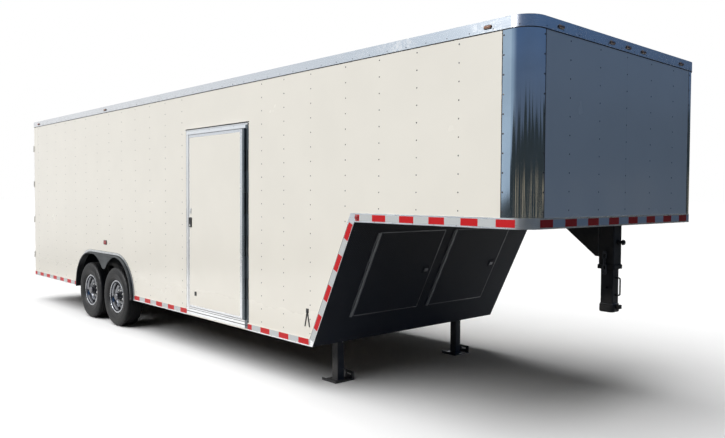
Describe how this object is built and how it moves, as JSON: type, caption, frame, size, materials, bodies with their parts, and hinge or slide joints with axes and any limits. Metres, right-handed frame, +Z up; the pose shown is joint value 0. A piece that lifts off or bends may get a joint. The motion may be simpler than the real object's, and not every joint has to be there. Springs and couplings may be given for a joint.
{
  "type": "gooseneck cargo trailer",
  "caption": "Enclosed gooseneck cargo trailer with a raised neck deck, tandem wheels, side and rear doors, slope hatches and landing legs.",
  "frame": {"origin": "on the ground under the middle of the box", "axes": "+X forward to the coupler, +Y to the trailer's left, +Z up"},
  "size_m": [9.784, 2.667, 2.96],
  "materials": {
    "chassis_black": "satin black paint",
    "treadplate_black": "glossy black treadplate",
    "plywood": "bare plywood",
    "white_skin": "cream white painted aluminium",
    "polished_corner": "mirror polished aluminium",
    "roof_sheet": "mill finish aluminium",
    "polished_trim": "bright aluminium extrusion",
    "reflective_band": "aluminium band with red and silver reflective tape",
    "white_frame": "cream white paint",
    "mill_aluminium": "satin aluminium extrusion",
    "dark_steel": "dark plated wire",
    "wheel_well": "black undercoat",
    "arch_aluminium": "bright treadplate aluminium",
    "coupler_black": "black paint, lightly worn",
    "chain_steel": "dull zinc chain",
    "amber_lens": "amber moulded lens",
    "red_lens": "red moulded lens",
    "lock_black": "black moulded lock",
    "zinc_steel": "zinc plated steel",
    "tyre_rubber": "black rubber",
    "rim_silver": "silver painted steel",
    "hub_black": "black paint"
  },
  "bodies": {
    "trailer": {"main_rails": "chassis_black", "edge_members": "chassis_black", "cross_members": "chassis_black", "neck_rails": "chassis_black", "neck_cross_members": "chassis_black", "slope_panel": "treadplate_black", "floor_main": "plywood", "floor_locker": "plywood", "floor_upper": "plywood", "riser_wall": "plywood", "wall_right": "white_skin", "wall_left": "white_skin", "wall_front": "white_skin", "corner_caps": "polished_corner", "roof": "roof_sheet", "roof_trim": "polished_trim", "edge_band": "reflective_band", "rear_frame": "white_frame", "door_frame": "mill_aluminium", "door_holdback": "dark_steel", "wheel_boxes": "wheel_well", "fenders": "arch_aluminium", "axle_front": "chassis_black", "axle_rear": "chassis_black", "coupler_post": "coupler_black", "coupler_stem": "coupler_black", "safety_chains": "chain_steel", "leg_right": "coupler_black", "leg_left": "coupler_black", "marker_lamps": "amber_lens", "tail_lamps": "red_lens"},
    "entry_door": {"entry_door": "white_skin", "door_latch": "lock_black"},
    "rear_door_right": {"rear_door_right": "white_skin", "lock_bar_right": "zinc_steel"},
    "rear_door_left": {"rear_door_left": "white_skin", "lock_bar_left": "zinc_steel"},
    "hatch_right": {"hatch_right": "treadplate_black"},
    "hatch_left": {"hatch_left": "treadplate_black"},
    "wheel_front_right": {"tyre_front_right": "tyre_rubber", "rim_front_right": "rim_silver", "hub_front_right": "hub_black"},
    "wheel_front_left": {"tyre_front_left": "tyre_rubber", "rim_front_left": "rim_silver", "hub_front_left": "hub_black"},
    "wheel_rear_right": {"tyre_rear_right": "tyre_rubber", "rim_rear_right": "rim_silver", "hub_rear_right": "hub_black"},
    "wheel_rear_left": {"tyre_rear_left": "tyre_rubber", "rim_rear_left": "rim_silver", "hub_rear_left": "hub_black"}
  },
  "joints": [
    {"name": "entry_door_hinge", "type": "hinge", "parent": "trailer", "child": "entry_door", "pos_m": [1.535, -1.3115, 1.4585], "axis": [0, 0, 1], "range_deg": [0, 180]},
    {"name": "rear_door_right_hinge", "type": "hinge", "parent": "trailer", "child": "rear_door_right", "pos_m": [-4.872, -1.2985, 1.623], "axis": [0, 0, 1], "range_deg": [0, 265]},
    {"name": "rear_door_left_hinge", "type": "hinge", "parent": "trailer", "child": "rear_door_left", "pos_m": [-4.872, 1.2985, 1.623], "axis": [0, 0, -1], "range_deg": [0, 265]},
    {"name": "hatch_right_hinge", "type": "hinge", "parent": "trailer", "child": "hatch_right", "pos_m": [2.93251, -0.9525, 1.03899], "axis": [-0.4383, 0, -0.8988], "range_deg": [0, 110]},
    {"name": "hatch_left_hinge", "type": "hinge", "parent": "trailer", "child": "hatch_left", "pos_m": [2.93251, 0.0725, 1.03899], "axis": [-0.4383, 0, -0.8988], "range_deg": [0, 110]},
    {"name": "wheel_front_right_spin", "type": "hinge", "parent": "trailer", "child": "wheel_front_right", "pos_m": [-1.582, -1.2065, 0.391], "axis": [0, 1, 0], "continuous": true},
    {"name": "wheel_front_left_spin", "type": "hinge", "parent": "trailer", "child": "wheel_front_left", "pos_m": [-1.582, 1.2065, 0.391], "axis": [0, 1, 0], "continuous": true},
    {"name": "wheel_rear_right_spin", "type": "hinge", "parent": "trailer", "child": "wheel_rear_right", "pos_m": [-2.448, -1.2065, 0.391], "axis": [0, 1, 0], "continuous": true},
    {"name": "wheel_rear_left_spin", "type": "hinge", "parent": "trailer", "child": "wheel_rear_left", "pos_m": [-2.448, 1.2065, 0.391], "axis": [0, 1, 0], "continuous": true}
  ]
}
